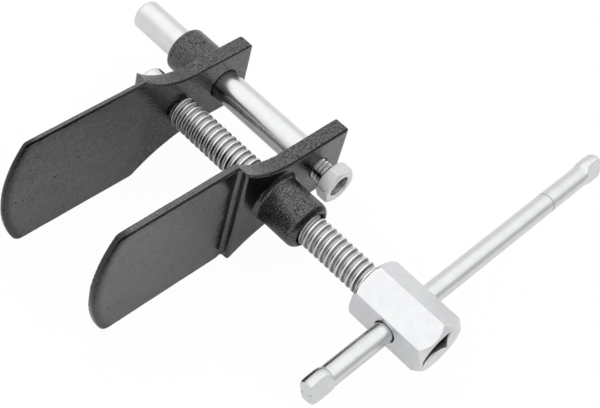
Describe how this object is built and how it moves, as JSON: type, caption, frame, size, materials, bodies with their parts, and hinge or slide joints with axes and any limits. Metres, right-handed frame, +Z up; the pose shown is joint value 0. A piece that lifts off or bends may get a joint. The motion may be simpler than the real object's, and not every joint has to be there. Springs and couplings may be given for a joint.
{
  "type": "brake caliper piston tool",
  "caption": "Screw-driven spreader with two flat cast jaws on a guide rod, a hexagonal drive head with a square socket, and a sliding cross bar.",
  "frame": {"origin": "on the floor under the middle of the whole tool: the centre of the bounding box's bottom face, level with the blades' lower edges", "axes": "+X from the blades' tips towards the guide rod, +Y along the screw from the drive head to the rod's free end, +Z up, along the blades' width"},
  "size_m": [0.145, 0.1378, 0.0381],
  "materials": {
    "jaw_enamel": "semi-gloss black enamel over a rough casting",
    "plated_screw": "bright zinc plate",
    "satin_head": "satin nickel plate",
    "bar_steel": "bright plate with small dings",
    "rod_steel": "smooth bright zinc plate",
    "plated_nut": "bright zinc plate"
  },
  "bodies": {
    "fixed_jaw": {"front_jaw": "jaw_enamel", "guide_rod": "rod_steel", "guide_rod_nut": "plated_nut"},
    "sliding_jaw": {"rear_jaw": "jaw_enamel"},
    "screw": {"lead_screw": "plated_screw", "drive_head": "satin_head", "screw_end_collar": "plated_screw"},
    "bar": {"tommy_bar": "bar_steel"}
  },
  "joints": [
    {"name": "jaw_travel", "type": "slide", "parent": "fixed_jaw", "child": "sliding_jaw", "axis": [0, 1, 0], "range_m": [-0.0346, 0.0224]},
    {"name": "screw_turn", "type": "hinge", "parent": "sliding_jaw", "child": "screw", "pos_m": [-0.01172, -0.00145, 0.0194], "axis": [0, 1, 0], "range_deg": [-6220, 4030]},
    {"name": "bar_slide", "type": "slide", "parent": "screw", "child": "bar", "axis": [0.9984, 0, 0.0558], "range_m": [-0.0687, 0.0209]}
  ],
  "couplings": [
    {"joint": "jaw_travel", "follows": "screw_turn", "m_per_rad": 0.00031831}
  ]
}
